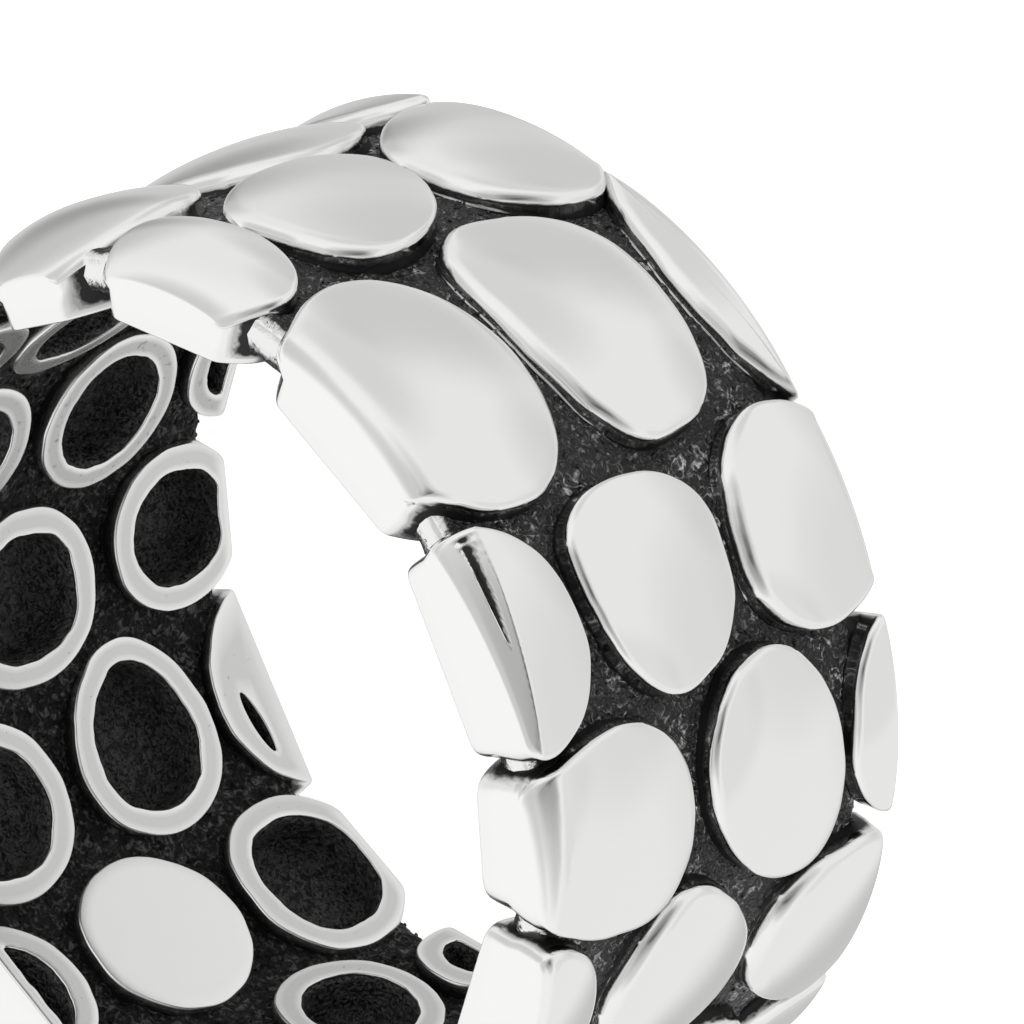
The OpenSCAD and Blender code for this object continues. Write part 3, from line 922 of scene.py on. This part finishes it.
# The table
# A pale table top lit from below, as for catalogue photographs of jewellery, which leaves no dark shadow.
# Only the camera sees it: what the silver mirrors is the tent that goes on below it.
def lit_acrylic():
    material = bpy.data.materials.new("lit_white_acrylic")
    material.use_nodes = True
    shader = material.node_tree.nodes["Principled BSDF"]
    shader.inputs["Base Color"].default_value = linear("#f2f2f2")
    shader.inputs["Roughness"].default_value = 0.9
    shader.inputs["Specular IOR Level"].default_value = 0.0
    shader.inputs["Emission Color"].default_value = linear("#ffffff")
    shader.inputs["Emission Strength"].default_value = 0.8
    return material


def flat_sheet(name, half, height, material):
    """A level square sheet about the ring's axis."""
    mesh = bpy.data.meshes.new(name)
    corners = [(-half, -half, height), (half, -half, height), (half, half, height), (-half, half, height)]
    mesh.from_pydata(corners, [], [(0, 1, 2, 3)])
    mesh.materials.append(material)
    sheet = bpy.data.objects.new(name, mesh)
    bpy.context.scene.collection.objects.link(sheet)
    return sheet


table_top = flat_sheet("table_top", 400 * MM, 0.0, lit_acrylic())
table_top.visible_glossy = False
table_top.visible_diffuse = False
table_top.visible_shadow = False

# The light
# A white light tent all round the ring, a little brighter above than below and brightest behind. Grey
# sheets below, to the right, overhead and high up at both sides shade the polished tops, and the camera
# looks in through a dark opening.
CAMERA_TURN = -0.65
CAMERA_RISE = 40.48
CAMERA_ROLL = -113.02
CAMERA_AIM = (1.546, -2.933, 1.783)
CAMERA_DISTANCE = 178.0
LENS = 298.7


def direction(azimuth, elevation):
    """A direction by degrees: azimuth 0 is the front and 90 is +X."""
    a, e = math.radians(azimuth), math.radians(elevation)
    return Vector((math.sin(a) * math.cos(e), -math.cos(a) * math.cos(e), math.sin(e)))


# What a sheet of the tent adds to its brightness: the sheet's direction, and the angles from it in degrees
# at which that ends and is full.
Sheet = namedtuple("Sheet", "azimuth elevation outer inner amount")
sheets = [
    Sheet(0, 90, 90, 50, 0.08),
    Sheet(180, 42, 45, 20, 0.07),
    Sheet(CAMERA_TURN, CAMERA_RISE, 38, 14, -0.28),
    Sheet(CAMERA_TURN, CAMERA_RISE, 20, 3, -0.40),
    Sheet(0, 82, 34, 8, -0.32),
    Sheet(-36, 42, 28, 6, -0.34),
    Sheet(112, 48, 26, 4, -0.30),
    Sheet(58, -12, 30, 6, -0.16),
    Sheet(146, -38, 32, 4, -0.28),
    Sheet(132, -14, 30, 4, -0.30),
    Sheet(84, -44, 28, 6, -0.23),
    Sheet(20, -62, 18, 5, -0.10),
    Sheet(-28, -50, 25, 4, -0.11),
    Sheet(-38, -16, 21, 17, -0.08),
    Sheet(-144, -44, 32, 10, -0.31),
    Sheet(0, -90, 40, 12, -0.10),
]
TENT_LEVEL = 0.92


def tent(world):
    """Brightness of the tent by direction: its level and what the sheets add."""
    world.use_nodes = True
    tree = world.node_tree
    look = add_node(tree, "ShaderNodeTexCoord").outputs["Generated"]
    level = add_node(tree, "ShaderNodeValue").outputs[0]
    level.default_value = TENT_LEVEL
    for sheet in sheets:
        towards = direction(sheet.azimuth, sheet.elevation)
        starts = math.cos(math.radians(sheet.outer))
        full = math.cos(math.radians(sheet.inner))
        facing = add_node(tree, "ShaderNodeVectorMath", {1: towards}, {0: look}, operation="DOT_PRODUCT")
        added = add_node(tree, "ShaderNodeMapRange",
                         {"From Min": starts, "From Max": full, "To Max": sheet.amount},
                         {"Value": facing.outputs["Value"]}, interpolation_type="SMOOTHSTEP")
        total = add_node(tree, "ShaderNodeMath", {}, {0: level, 1: added.outputs[0]}, operation="ADD")
        level = total.outputs[0]
    tree.links.new(level, tree.nodes["Background"].inputs["Strength"])
    tree.nodes["Background"].inputs["Color"].default_value = linear("#ffffff")


scene = bpy.context.scene
scene.world = bpy.data.worlds.new("light_tent")
tent(scene.world)
scene.view_settings.view_transform = "Standard"

# The camera
# A long lens at the photograph's angle, turned on its side so that the ring's axis runs to the left.
camera = bpy.data.objects.new("camera", bpy.data.cameras.new("camera"))
scene.collection.objects.link(camera)
back = direction(CAMERA_TURN, CAMERA_RISE)
level_right = Vector((math.cos(math.radians(CAMERA_TURN)), math.sin(math.radians(CAMERA_TURN)), 0))
level_up = back.cross(level_right)
roll = math.radians(CAMERA_ROLL)
right = math.cos(roll) * level_right + math.sin(roll) * level_up
up = math.cos(roll) * level_up - math.sin(roll) * level_right
place = (Vector(CAMERA_AIM) + back * CAMERA_DISTANCE) * MM
camera.matrix_world = Matrix.Translation(place) @ Matrix((right, up, back)).transposed().to_4x4()
camera.data.lens = LENS
camera.data.sensor_width = 36
camera.data.clip_start = 10 * MM
camera.data.clip_end = 2000 * MM
scene.camera = camera
